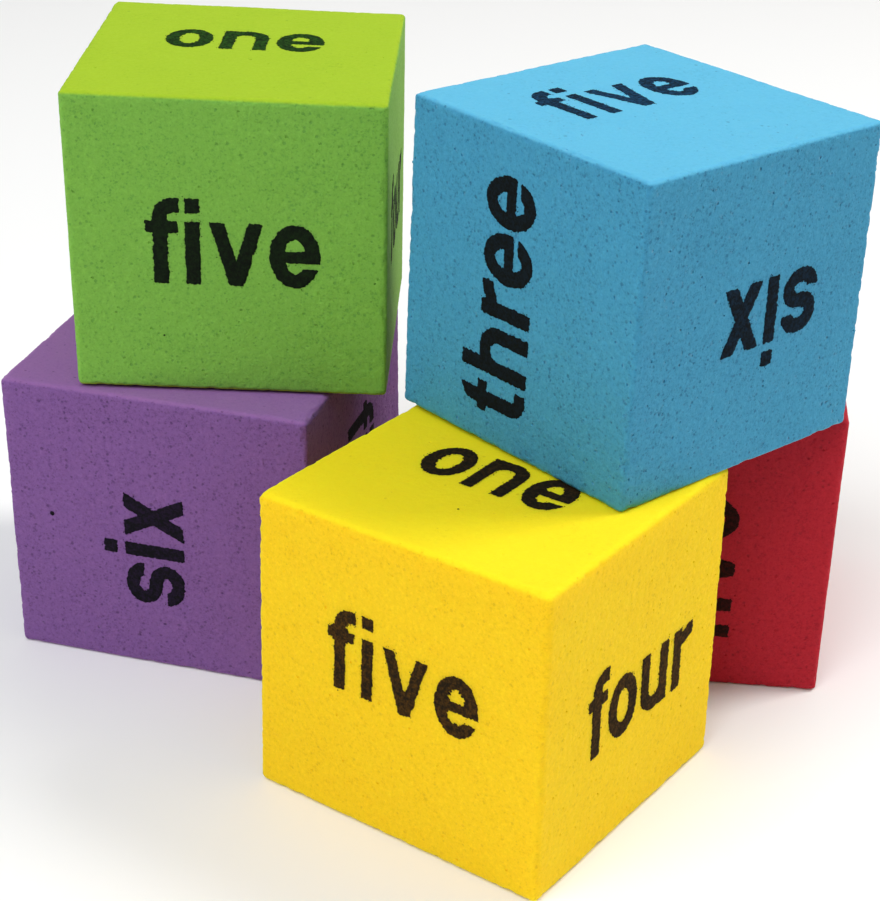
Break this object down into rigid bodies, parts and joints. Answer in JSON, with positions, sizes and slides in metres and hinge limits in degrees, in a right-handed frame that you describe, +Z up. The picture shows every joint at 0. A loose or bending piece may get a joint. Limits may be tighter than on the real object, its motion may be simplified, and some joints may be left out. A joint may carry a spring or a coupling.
{
  "type": "foam word dice",
  "caption": "Pile of soft foam cube dice whose faces are printed with the words one to six, stacked two high, with loose blocks that lift and slide apart.",
  "frame": {"origin": "middle of the pile's outer box in plan, on the surface that the lower dice stand on", "axes": "+X along the pile's longest side, from the purple and green stack to the red and blue stack; +Z up, out of the green die's top face; the yellow die is in front, towards -Y"},
  "size_m": [0.1392, 0.1152, 0.1],
  "materials": {
    "purple_foam": "matte cut closed-cell foam with fine open pores",
    "green_foam": "matte cut closed-cell foam with fine open pores",
    "yellow_foam": "matte cut closed-cell foam with fine open pores",
    "red_foam": "matte cut closed-cell foam with fine open pores",
    "blue_foam": "matte cut closed-cell foam with fine open pores",
    "black_ink": "matte screen-printed ink soaked into the foam"
  },
  "bodies": {
    "purple_die": {"purple_block": "purple_foam", "purple_word_one": "black_ink", "purple_word_two": "black_ink", "purple_word_three": "black_ink", "purple_word_four": "black_ink", "purple_word_five": "black_ink", "purple_word_six": "black_ink"},
    "green_die": {"green_block": "green_foam", "green_word_one": "black_ink", "green_word_two": "black_ink", "green_word_three": "black_ink", "green_word_four": "black_ink", "green_word_five": "black_ink", "green_word_six": "black_ink"},
    "yellow_die": {"yellow_block": "yellow_foam", "yellow_word_one": "black_ink", "yellow_word_two": "black_ink", "yellow_word_three": "black_ink", "yellow_word_four": "black_ink", "yellow_word_five": "black_ink", "yellow_word_six": "black_ink"},
    "red_die": {"red_block": "red_foam", "red_word_one": "black_ink", "red_word_two": "black_ink", "red_word_three": "black_ink", "red_word_four": "black_ink", "red_word_five": "black_ink", "red_word_six": "black_ink"},
    "blue_die": {"blue_block": "blue_foam", "blue_word_one": "black_ink", "blue_word_two": "black_ink", "blue_word_three": "black_ink", "blue_word_four": "black_ink", "blue_word_five": "black_ink", "blue_word_six": "black_ink"}
  },
  "joints": [
    {"name": "green_lift", "type": "slide", "parent": "purple_die", "child": "green_die", "axis": [0, 0, 1], "range_m": [0, 0.06]},
    {"name": "blue_lift", "type": "slide", "parent": "purple_die", "child": "blue_die", "axis": [0, 0, 1], "range_m": [0, 0.06]},
    {"name": "yellow_slide", "type": "slide", "parent": "purple_die", "child": "yellow_die", "axis": [0, -1, 0], "range_m": [0, 0.06]},
    {"name": "red_slide", "type": "slide", "parent": "purple_die", "child": "red_die", "axis": [1, 0, 0], "range_m": [0, 0.06]}
  ]
}
